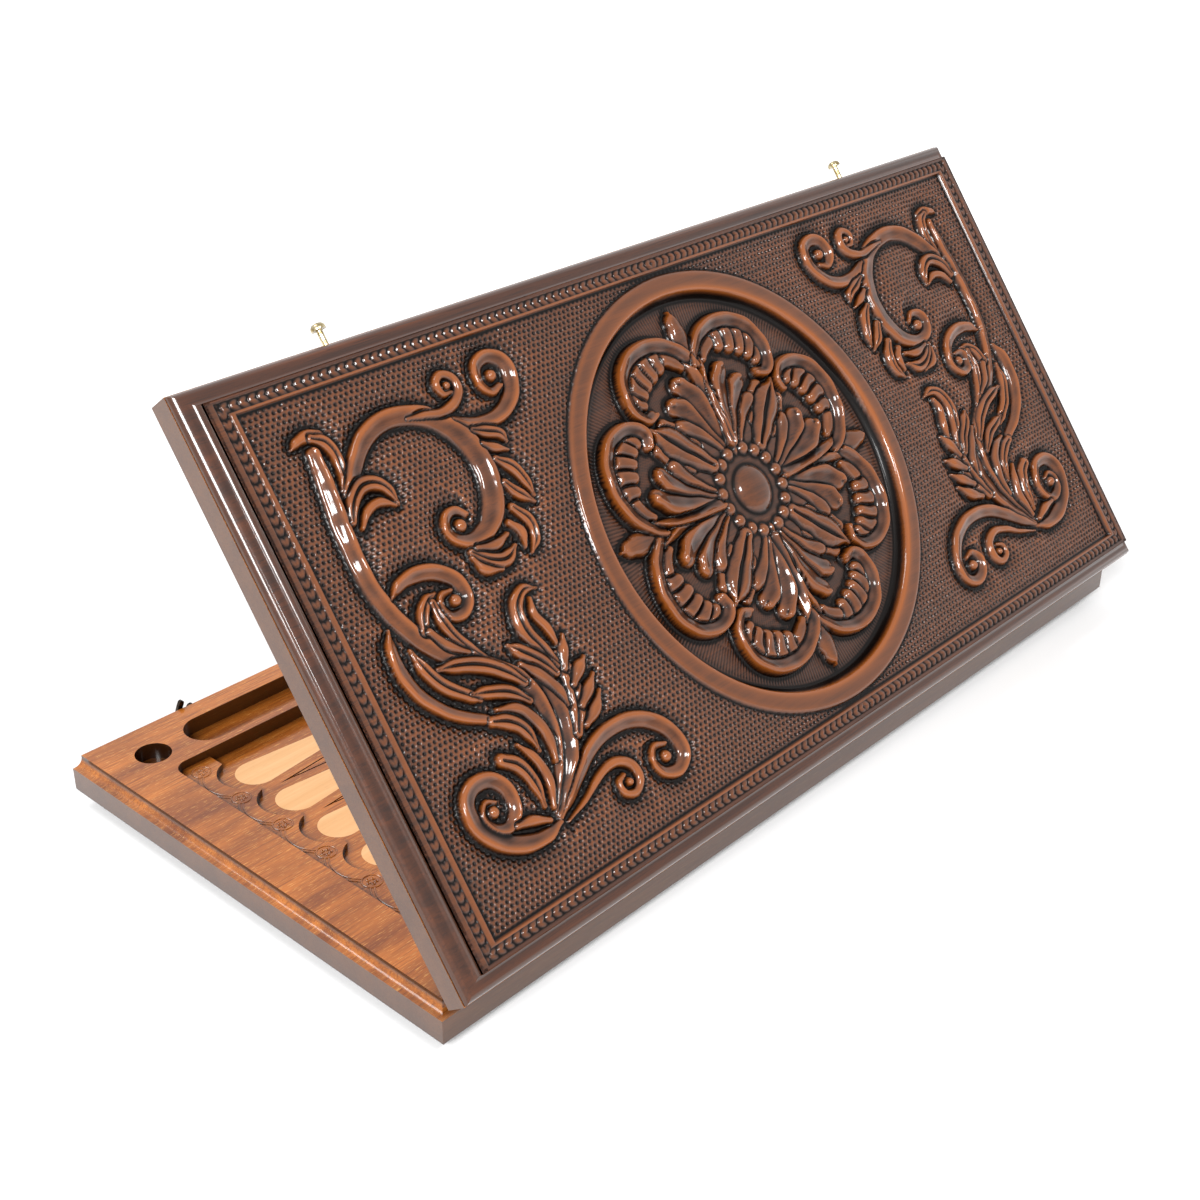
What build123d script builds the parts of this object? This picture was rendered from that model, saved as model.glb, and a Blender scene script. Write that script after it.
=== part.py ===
from build123d import *
import os
from math import cos, radians, sin

# A hinged backgammon board of stained beech: two equal milled halves that close face to face,
# each a tray body with a moulded panel glued to its outer side.
# The model stands as it is shown: lower half flat on the table, carved half raised as a lid.
# Origin: centre of the lower half's underside, X along the hinge, Y towards the far edge, Z up.

# one half
board_width = 580.0
board_depth = 284.0
body_thickness = 18.0
panel_thickness = 10.0
half_thickness = body_thickness + panel_thickness
opening_angle = 53.1
closing_gap = 0.15
cut_margin = 1.0

# bead moulding around the inner face, on both short sides and the hinge side
bead_radius = 4.5
bead_ledge = 1.4
bead_step = 0.95

# ogee around the outer panel
ogee_step = 1.5
ogee_cove_radius = 4.0
ogee_round_width = 5.1
ogee_quirk = 0.4

# playing field
field_side_rim = 32.0
field_near_rim = 17.5
field_far_rim = 44.0
field_corner_radius = 8.0
band_depth = 5.0
floor_depth = 8.5
band_width = 23.6

# points
points_per_side = 6
point_pitch = 33.8
point_row_shift = 1.0
point_base_radius = 11.3
point_tip_radius = 1.2
point_length = 112.0
inlay_thickness = 1.2
point_to_cusp = 0.7
scallop_radius = 15.9
scallop_reach = 11.0
groove_width = 0.8
groove_depth = 0.6
groove_apex_inset = 13.6
groove_spread = 9.0

# checker slot and dice wells in the far rim
slot_width = 26.0
slot_far_wall = 13.0
slot_end_rim = 55.0
slot_depth = 9.5
well_radius = 9.75
well_side_inset = 33.0
well_depth = 9.5

# carved outer face of the lid
carving_border = 22.0
carving_far_border = 19.0
carving_depth = 1.8
stroke_width = 11.0
# each stroke of the left scroll as an arc through three points, counted from the sunk field's
# left side and from the middle of the board's depth
scroll_arcs = (
    ((22, 105), (26, 18), (84, -45)),
    ((23, -70), (42, -100), (82, -94)),
    ((34, 70), (86, 96), (104, 50)),
    ((84, -92), (90, -30), (104, 2)),
    ((66, -96), (116, -70), (142, -96)),
    ((112, 88), (134, 88), (142, 104)),
)
ring_radius = 121.0
ring_width = 11.4
bowl_depth = 7.5
boss_radius = 14.0
boss_height = 6.4
pearl_count = 17
pearl_ring_radius = 21.0
pearl_radius = 3.6
pearl_height = 5.0
pearl_margin = 0.8
petal_count = 8
petal_start = 26.0
petal_end = 62.0
petal_width = 13.0
petal_height = 4.8
curl_orbit = 72.0
curl_radius = 15.0
curl_width = 8.0
curl_sweep = 250.0
bud_count = 4
bud_start = 80.0
bud_end = 98.0
bud_width = 10.0
bud_height = 3.4

# butt hinges
hinge_offset = 180.0
hinge_length = 50.0
leaf_width = 14.5
leaf_thickness = 1.2
knuckle_radius = 2.4
knuckle_count = 5
knuckle_gap = 0.3
leaf_overlap = 1.0
pin_radius = 1.0
pin_clearance = 0.05
pin_head_margin = 0.5
pin_head_gap = 0.1
hinge_screw_count = 3
hinge_screw_pitch = 17.0
hinge_screw_radius = 1.1
hinge_screw_head_radius = 2.3
hinge_screw_length = 9.0
hinge_screw_edge = 4.6
hinge_slot_width = 0.5
hinge_slot_depth = 0.5

# swing hooks and catch pins on the far faces
catch_offset = 198.0
pivot_height = 10.0
catch_height = 11.0
washer_radius = 4.6
washer_thickness = 0.8
hook_thickness = 2.0
hook_clearance = 0.2
hook_boss_radius = 4.8
hook_arm_width = 4.6
hook_slot_clearance = 0.4
hook_tip_width = 3.0
hook_hump_angle = 24.0
hook_tip_angle = 30.0
hook_slot_angle = 90.0
hook_arm_drop = 0.8
pivot_screw_radius = 1.3
pivot_head_radius = 3.8
pivot_head_height = 1.9
catch_pin_radius = 1.5
catch_pin_reach = 12.0
catch_head_radius = 3.65
catch_head_height = 3.2
screw_slot_width = 0.7
screw_slot_depth = 0.7
dome_share = 0.8
screw_bite = 9.0

# the two places of a half; in a half's own frame the hinge axis is X, Y runs to the far edge
# and Z runs from the closing plane into the wood
hinge_line = (0, -board_depth / 2, half_thickness)
lid_normal = (0, -sin(radians(opening_angle)), cos(radians(opening_angle)))
lower_place = Plane(origin=hinge_line, x_dir=(-1, 0, 0), z_dir=(0, 0, -1)).location
lid_place = Plane(origin=hinge_line, x_dir=(1, 0, 0), z_dir=lid_normal).location

half_width = board_width / 2
mid_depth = board_depth / 2
left_side = Plane(origin=(-half_width, mid_depth, 0), x_dir=(1, 0, 0), z_dir=(0, -1, 0))
right_side = Plane(origin=(half_width, mid_depth, 0), x_dir=(-1, 0, 0), z_dir=(0, 1, 0))
hinge_side = Plane(origin=(0, closing_gap, 0), x_dir=(0, 1, 0), z_dir=(1, 0, 0))
far_side = Plane(origin=(0, board_depth, 0), x_dir=(0, -1, 0), z_dir=(-1, 0, 0))
far_face = Plane(origin=(0, board_depth, 0), x_dir=(1, 0, 0), z_dir=(0, 1, 0))

field_length = board_width - 2 * field_side_rim
field_width = board_depth - field_near_rim - field_far_rim
field_middle = field_near_rim + field_width / 2
floor_half_length = field_length / 2 - band_width
point_base = floor_half_length + point_to_cusp - point_base_radius
scallop_centre = field_length / 2 - band_width + scallop_reach - scallop_radius
slot_middle = board_depth - slot_far_wall - slot_width / 2
slot_length = board_width - 2 * slot_end_rim


def point_rows():
    """Places of the points' long axes across the field."""
    first = field_middle + point_row_shift - point_pitch * (points_per_side - 1) / 2
    return [first + point_pitch * row for row in range(points_per_side)]


def half_block(start, thickness):
    """A plain slab as large as one half, from the level start."""
    with BuildPart() as block:
        with BuildSketch(Plane.XY.offset(start)):
            with Locations((0, (board_depth + closing_gap) / 2)):
                Rectangle(board_width, board_depth - closing_gap)
        extrude(amount=thickness)
    return block.part


def bead_cut():
    """What the quarter-round bead takes off beside the inner face."""
    top = closing_gap + bead_step
    inner = bead_ledge + bead_radius
    ledge_level = top + bead_radius
    with BuildPart() as cut:
        for side, length in (
            (left_side, board_depth),
            (right_side, board_depth),
            (hinge_side, board_width),
        ):
            with BuildSketch(side):
                with BuildLine():
                    Polyline(
                        (inner, top),
                        (inner, -cut_margin),
                        (-cut_margin, -cut_margin),
                        (-cut_margin, ledge_level),
                        (bead_ledge, ledge_level),
                    )
                    RadiusArc((bead_ledge, ledge_level), (inner, top), bead_radius)
                make_face()
            extrude(amount=length, both=True)
    return cut.part


def ogee_cut():
    """What the ogee takes off around the outer panel."""
    cove_edge = ogee_round_width + ogee_quirk
    inner = cove_edge + ogee_cove_radius
    step_level = half_thickness - ogee_step
    round_level = step_level - ogee_cove_radius
    foot = body_thickness + ogee_quirk
    top = half_thickness + cut_margin
    with BuildPart() as cut:
        for side, length in (
            (left_side, board_depth),
            (right_side, board_depth),
            (hinge_side, board_width),
            (far_side, board_width),
        ):
            with BuildSketch(side):
                with BuildLine():
                    Polyline((-cut_margin, foot), (-cut_margin, top), (inner, top), (inner, step_level))
                    RadiusArc((inner, step_level), (cove_edge, round_level), ogee_cove_radius)
                    RadiusArc((cove_edge, round_level), (ogee_quirk, foot), -ogee_round_width)
                    Line((ogee_quirk, foot), (-cut_margin, foot))
                make_face()
            extrude(amount=length, both=True)
    return cut.part


def point_sketches(plane):
    """Outlines of all light points of one half: round at the rim, tapering to the middle."""
    reach = point_length - point_base_radius - point_tip_radius
    with BuildSketch() as one:
        Circle(point_base_radius)
        with Locations((reach, 0)):
            Circle(point_tip_radius)
        make_hull()
    with BuildSketch(plane) as outlines:
        with Locations([(-point_base, row) for row in point_rows()]):
            add(one.sketch)
        mirror(about=Plane.YZ)
    return outlines.sketch


def dark_point_grooves():
    """Fine engraved lines that mark the dark points between the light ones."""
    apex = point_base + point_base_radius - groove_apex_inset
    end = point_base + point_base_radius - point_length
    with BuildPart() as grooves:
        with BuildSketch(Plane.XY.offset(floor_depth)):
            for row in point_rows()[:-1]:
                middle = row + point_pitch / 2
                tip = (-apex, middle)
                low = (-end, middle - groove_spread)
                high = (-end, middle + groove_spread)
                with BuildLine():
                    Polyline(low, tip, high, close=True)
                make_face()
                with BuildLine():
                    inset = Polyline(low, tip, high, close=True)
                    offset(inset, amount=-groove_width, kind=Kind.INTERSECTION, mode=Mode.REPLACE)
                make_face(mode=Mode.SUBTRACT)
            mirror(about=Plane.YZ)
        extrude(amount=groove_depth)
    return grooves.part


def hinge_mortises():
    """Shallow recesses for the two hinge leaves, with their screw holes."""
    with BuildPart() as mortises:
        with BuildSketch(Plane.XY):
            with Locations((-hinge_offset, leaf_width / 2), (hinge_offset, leaf_width / 2)):
                Rectangle(hinge_length, leaf_width)
        extrude(amount=closing_gap + leaf_thickness)
        with BuildSketch(Plane.XY):
            with Locations(hinge_screw_places(-hinge_offset) + hinge_screw_places(hinge_offset)):
                Circle(hinge_screw_radius)
        extrude(amount=closing_gap + hinge_screw_length)
    return mortises.part


def hinge_screw_places(centre):
    """Centres of the screws of the leaf at one hinge."""
    row = leaf_width - hinge_screw_edge
    middle = (hinge_screw_count - 1) / 2
    return [(centre + (index - middle) * hinge_screw_pitch, row) for index in range(hinge_screw_count)]


def milled_tray(screw_level, screw_radius):
    """One half's body: field with scalloped floor, slot, wells, mortises and screw holes."""
    well_place = half_width - well_side_inset
    with BuildPart() as tray:
        add(half_block(closing_gap, body_thickness - closing_gap))
        add(bead_cut(), mode=Mode.SUBTRACT)
        with BuildSketch():
            with Locations((0, field_middle)):
                RectangleRounded(field_length, field_width, field_corner_radius)
        extrude(amount=band_depth, mode=Mode.SUBTRACT)
        with BuildSketch(Plane.XY.offset(band_depth)):
            with Locations((0, field_middle)):
                Rectangle(2 * floor_half_length, field_width)
            with Locations([(-scallop_centre, row) for row in point_rows()]):
                Circle(scallop_radius)
            with Locations([(scallop_centre, row) for row in point_rows()]):
                Circle(scallop_radius)
        extrude(amount=floor_depth - band_depth, mode=Mode.SUBTRACT)
        add(point_sketches(Plane.XY.offset(floor_depth)))
        extrude(amount=inlay_thickness, mode=Mode.SUBTRACT)
        add(dark_point_grooves(), mode=Mode.SUBTRACT)
        with BuildSketch():
            with Locations((0, slot_middle)):
                SlotOverall(slot_length, slot_width)
        extrude(amount=slot_depth, mode=Mode.SUBTRACT)
        with BuildSketch():
            with Locations((-well_place, slot_middle), (well_place, slot_middle)):
                Circle(well_radius)
        extrude(amount=well_depth, mode=Mode.SUBTRACT)
        add(hinge_mortises(), mode=Mode.SUBTRACT)
        with BuildSketch(far_face):
            with Locations((-catch_offset, -screw_level), (catch_offset, -screw_level)):
                Circle(screw_radius)
        extrude(amount=-screw_bite, mode=Mode.SUBTRACT)
    return tray.part


def outer_panel():
    """The glued panel of one half, plain apart from its ogee."""
    with BuildPart() as panel:
        add(half_block(body_thickness, panel_thickness))
        add(ogee_cut(), mode=Mode.SUBTRACT)
    return panel.part


def light_points():
    """The inlaid light points of one half, each a solid of its own."""
    with BuildPart() as points:
        add(point_sketches(Plane.XY.offset(floor_depth)))
        extrude(amount=inlay_thickness)
    return points.part


def rosette():
    """Medallion in the bowl: pearl-ringed boss, petals, curled ribbons and four buds."""
    floor_level = half_thickness - bowl_depth
    middle = (0, mid_depth)
    curl = CenterArc((0, 0), curl_radius, 180 - curl_sweep / 2, curl_sweep)
    with BuildPart() as flower:
        with BuildSketch(Plane.XY.offset(floor_level)):
            with Locations(middle):
                Circle(boss_radius)
        extrude(amount=boss_height)
        fillet(flower.edges().group_by(Axis.Z)[-1], boss_height / 2)
        with BuildSketch(Plane.XY.offset(floor_level)):
            with Locations(middle):
                Circle(pearl_ring_radius + pearl_radius + pearl_margin)
        extrude(amount=petal_height / 2)
        with BuildSketch(Plane.XY.offset(floor_level)):
            with Locations(middle):
                with PolarLocations(pearl_ring_radius, pearl_count):
                    Circle(pearl_radius)
        extrude(amount=pearl_height)
        with BuildSketch(Plane.XY.offset(floor_level)):
            with Locations(middle):
                with PolarLocations((petal_start + petal_end) / 2, petal_count):
                    SlotOverall(petal_end - petal_start, petal_width)
                with PolarLocations(curl_orbit, petal_count, start_angle=180 / petal_count):
                    SlotArc(curl, curl_width)
        extrude(amount=petal_height)
        with BuildSketch(Plane.XY.offset(floor_level)):
            with Locations(middle):
                with PolarLocations((bud_start + bud_end) / 2, bud_count):
                    SlotOverall(bud_end - bud_start, bud_width)
        extrude(amount=bud_height)
    return flower.part


def scroll_strokes():
    """Main strokes of the left scroll, as arcs in a half's own frame."""
    side = carving_border - half_width
    return [
        ThreePointArc(*[(side + across, mid_depth + up) for across, up in points])
        for points in scroll_arcs
    ]


def carved_panel():
    """The lid's panel: sunk field, ring around a bowl, medallion and scroll strokes."""
    field_level = half_thickness - carving_depth
    middle = (0, mid_depth)
    sunk_width = board_depth - 2 * carving_far_border
    strokes = scroll_strokes()
    with BuildPart() as panel:
        add(outer_panel())
        with BuildSketch(Plane.XY.offset(half_thickness)):
            with Locations(middle):
                Rectangle(board_width - 2 * carving_border, sunk_width)
        extrude(amount=-carving_depth, mode=Mode.SUBTRACT)
        with BuildSketch(Plane.XY.offset(field_level)):
            with Locations(middle):
                Circle(ring_radius)
            for stroke in strokes:
                SlotArc(stroke, stroke_width)
            mirror(about=Plane.YZ)
        extrude(amount=carving_depth)
        with BuildSketch(Plane.XY.offset(half_thickness)):
            with Locations(middle):
                Circle(ring_radius - ring_width)
        extrude(amount=-bowl_depth, mode=Mode.SUBTRACT)
        add(rosette())
    return panel.part


def knuckle_spans(first, gap):
    """Starts and lengths along X of every second knuckle, from the index first."""
    span = hinge_length / knuckle_count
    return [
        (index * span - hinge_length / 2 + gap / 2, span - gap)
        for index in range(first, knuckle_count, 2)
    ]


def hinge_leaf(first, centre):
    """A leaf let into the rim, with its knuckles and countersunk screw holes."""
    plate_start = knuckle_radius + knuckle_gap
    web_length = plate_start + leaf_overlap
    axis_plane = Plane(origin=(centre, 0, 0), x_dir=(0, 1, 0), z_dir=(1, 0, 0))
    with BuildPart() as leaf:
        with BuildSketch(Plane.XY.offset(closing_gap)):
            with Locations((centre, (plate_start + leaf_width) / 2)):
                Rectangle(hinge_length, leaf_width - plate_start)
            for start, length in knuckle_spans(first, knuckle_gap):
                with Locations((centre + start + length / 2, web_length / 2)):
                    Rectangle(length, web_length)
        extrude(amount=leaf_thickness)
        for start, length in knuckle_spans(first, knuckle_gap):
            with BuildSketch(axis_plane.offset(start)):
                Circle(knuckle_radius)
            extrude(amount=length)
        with BuildSketch(axis_plane):
            Circle(pin_radius + pin_clearance)
        extrude(amount=hinge_length, both=True, mode=Mode.SUBTRACT)
        sink_height = hinge_screw_head_radius - hinge_screw_radius
        for x, y in hinge_screw_places(centre):
            with BuildSketch(Plane.XY.offset(closing_gap)):
                with Locations((x, y)):
                    Circle(hinge_screw_radius)
            extrude(amount=leaf_thickness, mode=Mode.SUBTRACT)
            with Locations((x, y, closing_gap + sink_height / 2)):
                Cone(hinge_screw_head_radius, hinge_screw_radius, sink_height, mode=Mode.SUBTRACT)
    return leaf.part


def hinge_pin(centre):
    """The pin through all knuckles, with a small peened head at each end."""
    head = pin_radius + pin_head_margin
    axis_plane = Plane(origin=(centre, 0, 0), x_dir=(0, 1, 0), z_dir=(1, 0, 0))
    with BuildPart() as pin:
        with BuildSketch(axis_plane):
            Circle(pin_radius)
        extrude(amount=hinge_length / 2 + knuckle_gap, both=True)
        for end in (-1, 1):
            with BuildSketch(axis_plane.offset(end * (hinge_length / 2 + pin_head_gap))):
                Circle(head)
            extrude(amount=end * head / 2)
    return pin.part


def hinge_screws(centre):
    """Countersunk screws of one leaf."""
    head_height = hinge_screw_head_radius - hinge_screw_radius
    with BuildPart() as screws:
        with BuildSketch(Plane.XY.offset(closing_gap)):
            with Locations(hinge_screw_places(centre)):
                Circle(hinge_screw_radius)
        extrude(amount=hinge_screw_length)
        with Locations([(x, y, closing_gap + head_height / 2) for x, y in hinge_screw_places(centre)]):
            Cone(hinge_screw_head_radius, hinge_screw_radius, head_height)
        with BuildSketch(Plane.XY.offset(closing_gap)):
            with Locations(hinge_screw_places(centre)):
                Rectangle(2 * hinge_screw_head_radius, hinge_slot_width)
        extrude(amount=hinge_slot_depth, mode=Mode.SUBTRACT)
    return screws.part


def pivot_screw(offset):
    """Screw that the hook turns on, through hook and washer into the far wall."""
    pivot = Plane(origin=(offset, board_depth, pivot_height), x_dir=(1, 0, 0), z_dir=(0, 1, 0))
    seat = pivot.offset(washer_thickness + 2 * hook_clearance + hook_thickness)
    shank = screw_bite + washer_thickness + 2 * hook_clearance + hook_thickness
    with BuildPart() as screw:
        with BuildSketch(pivot.offset(-screw_bite)):
            Circle(pivot_screw_radius)
        extrude(amount=shank)
        with BuildSketch(seat):
            Circle(pivot_head_radius)
        extrude(amount=pivot_head_height)
        fillet(screw.edges().filter_by(GeomType.CIRCLE).sort_by(Axis.Y)[-1], pivot_head_height * dome_share)
        with BuildSketch(seat.offset(pivot_head_height)):
            Rectangle(2 * pivot_head_radius, screw_slot_width)
        extrude(amount=-screw_slot_depth, mode=Mode.SUBTRACT)
    return screw.part


def hook_washer(offset):
    """Washer that holds the hook off the wood."""
    pivot = Plane(origin=(offset, board_depth, pivot_height), x_dir=(1, 0, 0), z_dir=(0, 1, 0))
    with BuildPart() as washer:
        with BuildSketch(pivot):
            Circle(washer_radius)
            Circle(pivot_screw_radius, mode=Mode.SUBTRACT)
        extrude(amount=washer_thickness)
    return washer.part


def swing_hook(offset):
    """Hook that lies along the edge when open; its slot runs round the pivot, so it swings onto the pin."""
    pivot = Plane(origin=(offset, board_depth, pivot_height), x_dir=(1, 0, 0), z_dir=(0, 1, 0))
    reach = pivot_height + catch_height
    slot_half = catch_pin_radius + hook_slot_clearance
    hump_path = reach - slot_half - hook_arm_width / 2
    tip_path = reach + slot_half + hook_tip_width / 2
    hump = CenterArc((0, 0), hump_path, 0, hook_hump_angle)
    tip = CenterArc((0, 0), tip_path, 0, hook_tip_angle)
    pin_path = CenterArc((0, 0), reach, 0, hook_slot_angle)
    with BuildPart() as hook:
        with BuildSketch(pivot.offset(washer_thickness + hook_clearance)):
            Circle(hook_boss_radius)
            with Locations((reach / 2, -hook_arm_drop)):
                Rectangle(reach, hook_arm_width)
            with Locations((reach, 0)):
                Circle(slot_half + hook_tip_width)
            SlotArc(hump, hook_arm_width)
            SlotArc(tip, hook_tip_width)
            SlotArc(pin_path, 2 * slot_half, mode=Mode.SUBTRACT)
            Circle(pivot_screw_radius + pin_clearance, mode=Mode.SUBTRACT)
        extrude(amount=hook_thickness)
    return hook.part


def catch_pin(offset):
    """Round-headed pin of the lid that the hook catches."""
    root = Plane(origin=(offset, board_depth, catch_height), x_dir=(1, 0, 0), z_dir=(0, 1, 0))
    with BuildPart() as pin:
        with BuildSketch(root.offset(-screw_bite)):
            Circle(catch_pin_radius)
        extrude(amount=screw_bite + catch_pin_reach - catch_head_height)
        with BuildSketch(root.offset(catch_pin_reach - catch_head_height)):
            Circle(catch_head_radius)
        extrude(amount=catch_head_height)
        fillet(pin.edges().filter_by(GeomType.CIRCLE).sort_by(Axis.Y)[-1], catch_head_height * dome_share)
        with BuildSketch(root.offset(catch_pin_reach)):
            Rectangle(2 * catch_head_radius, screw_slot_width)
        extrude(amount=-screw_slot_depth, mode=Mode.SUBTRACT)
    return pin.part


def save(shape, name, place):
    """Sets a finished piece in its place, names it and writes it."""
    piece = shape.moved(place)
    piece.label = name
    export_step(piece, f"parts/{name}.step")


os.makedirs("parts", exist_ok=True)

save(milled_tray(pivot_height, pivot_screw_radius), "lower_tray", lower_place)
save(outer_panel(), "lower_base_panel", lower_place)
save(light_points(), "lower_light_points", lower_place)
save(milled_tray(catch_height, catch_pin_radius), "lid_tray", lid_place)
save(carved_panel(), "lid_carved_panel", lid_place)
save(light_points(), "lid_light_points", lid_place)

for side, direction in (("left", -1), ("right", 1)):
    # the lower half is laid out mirrored, so its own X runs against the board's
    own = -direction
    save(hinge_leaf(0, own * hinge_offset), f"hinge_lower_leaf_{side}", lower_place)
    save(hinge_leaf(1, direction * hinge_offset), f"hinge_lid_leaf_{side}", lid_place)
    save(hinge_pin(own * hinge_offset), f"hinge_pin_{side}", lower_place)
    save(hinge_screws(own * hinge_offset), f"hinge_lower_screws_{side}", lower_place)
    save(hinge_screws(direction * hinge_offset), f"hinge_lid_screws_{side}", lid_place)
    save(hook_washer(own * catch_offset), f"hook_washer_{side}", lower_place)
    save(swing_hook(own * catch_offset), f"hook_{side}", lower_place)
    save(pivot_screw(own * catch_offset), f"hook_screw_{side}", lower_place)
    save(catch_pin(direction * catch_offset), f"catch_pin_{side}", lid_place)
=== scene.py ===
"""Looks of a carved, hinged backgammon board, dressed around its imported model."""

import logging
from dataclasses import dataclass, field
from enum import Enum
from math import cos, pi, radians, sin

import bmesh
import bpy
import numpy as np
from mathutils import Euler, Matrix, Vector

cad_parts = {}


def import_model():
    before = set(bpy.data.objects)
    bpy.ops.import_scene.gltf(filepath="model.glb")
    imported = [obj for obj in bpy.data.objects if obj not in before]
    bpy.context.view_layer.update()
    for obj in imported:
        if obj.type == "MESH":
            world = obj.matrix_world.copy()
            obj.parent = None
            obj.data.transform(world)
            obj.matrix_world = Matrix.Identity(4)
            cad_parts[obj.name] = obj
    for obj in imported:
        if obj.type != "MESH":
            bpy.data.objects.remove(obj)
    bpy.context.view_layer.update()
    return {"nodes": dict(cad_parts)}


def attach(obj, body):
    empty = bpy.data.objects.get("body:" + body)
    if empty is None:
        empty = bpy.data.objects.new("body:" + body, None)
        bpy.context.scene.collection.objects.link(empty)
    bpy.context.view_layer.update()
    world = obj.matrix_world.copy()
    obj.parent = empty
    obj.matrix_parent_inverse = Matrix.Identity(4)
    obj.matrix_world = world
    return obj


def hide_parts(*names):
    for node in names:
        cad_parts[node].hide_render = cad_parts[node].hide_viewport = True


MM = 0.001
FAR = 99.0
CREASE = radians(32)
log = logging.getLogger("backgammon_board")

Array = np.ndarray
Socket = bpy.types.NodeSocket
Colour = tuple[float, float, float, float]
Stroke = tuple[tuple[tuple[float, float], ...], tuple[float, ...]]

# Space in mm under a piece that stands in for a solid, so that no two faces share a level.
GLUE_LINE = 0.02
# Uneven factors that scatter the punch marks as a hand would, across and along.
WANDER = ((12.9898, 78.233), (39.346, 11.135))


class Half(Enum):
    """The two halves of the board, by the CAD body that carries each."""

    LOWER = "lower_half"
    LID = "lid"


@dataclass(frozen=True)
class BoardSizes:
    """Main sizes of the board in metres, as the frame has them."""

    width: float = 580 * MM
    depth: float = 284 * MM
    thickness: float = 28 * MM
    panel: float = 10 * MM
    closing_gap: float = 0.15 * MM
    open_angle: float = radians(53.1)

    def half_matrix(self, half: Half) -> Matrix:
        """Place of a half's own frame: X on the hinge, Y to the far edge, Z into the wood.

        Args:
            half: Which half.

        Returns:
            The matrix from the half's own frame to the row frame.
        """
        line = Matrix.Translation((0, -self.depth / 2, self.thickness))
        if half is Half.LID:
            return line @ Matrix.Rotation(self.open_angle, 4, "X")
        return line @ Matrix.Rotation(pi, 4, "Y")


SIZES = BoardSizes()


def linear(hex_colour: str) -> Colour:
    """Turns an sRGB hex colour into Blender's linear colour.

    Args:
        hex_colour: Six hex digits, such as "6e3714".

    Returns:
        Linear red, green, blue and an alpha of 1.
    """
    parts = [int(hex_colour[i : i + 2], 16) / 255 for i in (0, 2, 4)]
    parts = [c / 12.92 if c <= 0.04045 else ((c + 0.055) / 1.055) ** 2.4 for c in parts]
    return (parts[0], parts[1], parts[2], 1.0)


def node(tree: bpy.types.NodeTree, kind: str, links: dict | None = None, stops: tuple = (),
         **settings: object) -> bpy.types.Node:
    """Adds one node with its settings and the links into it.

    Args:
        tree: The node tree to add to.
        kind: Blender's name of the node type.
        links: For each input, by name or number, an output socket or a plain value.
        stops: For a colour ramp, its two pairs of position and linear colour.
        **settings: Attributes of the node.

    Returns:
        The new node.
    """
    made = tree.nodes.new(kind)
    for name, value in settings.items():
        setattr(made, name, value)
    for name, value in (links or {}).items():
        if isinstance(value, bpy.types.NodeSocket):
            tree.links.new(value, made.inputs[name])
        else:
            made.inputs[name].default_value = value
    if stops:
        for element, (place, colour) in zip(made.color_ramp.elements, stops):
            element.position = place
            element.color = colour
    return made


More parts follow.
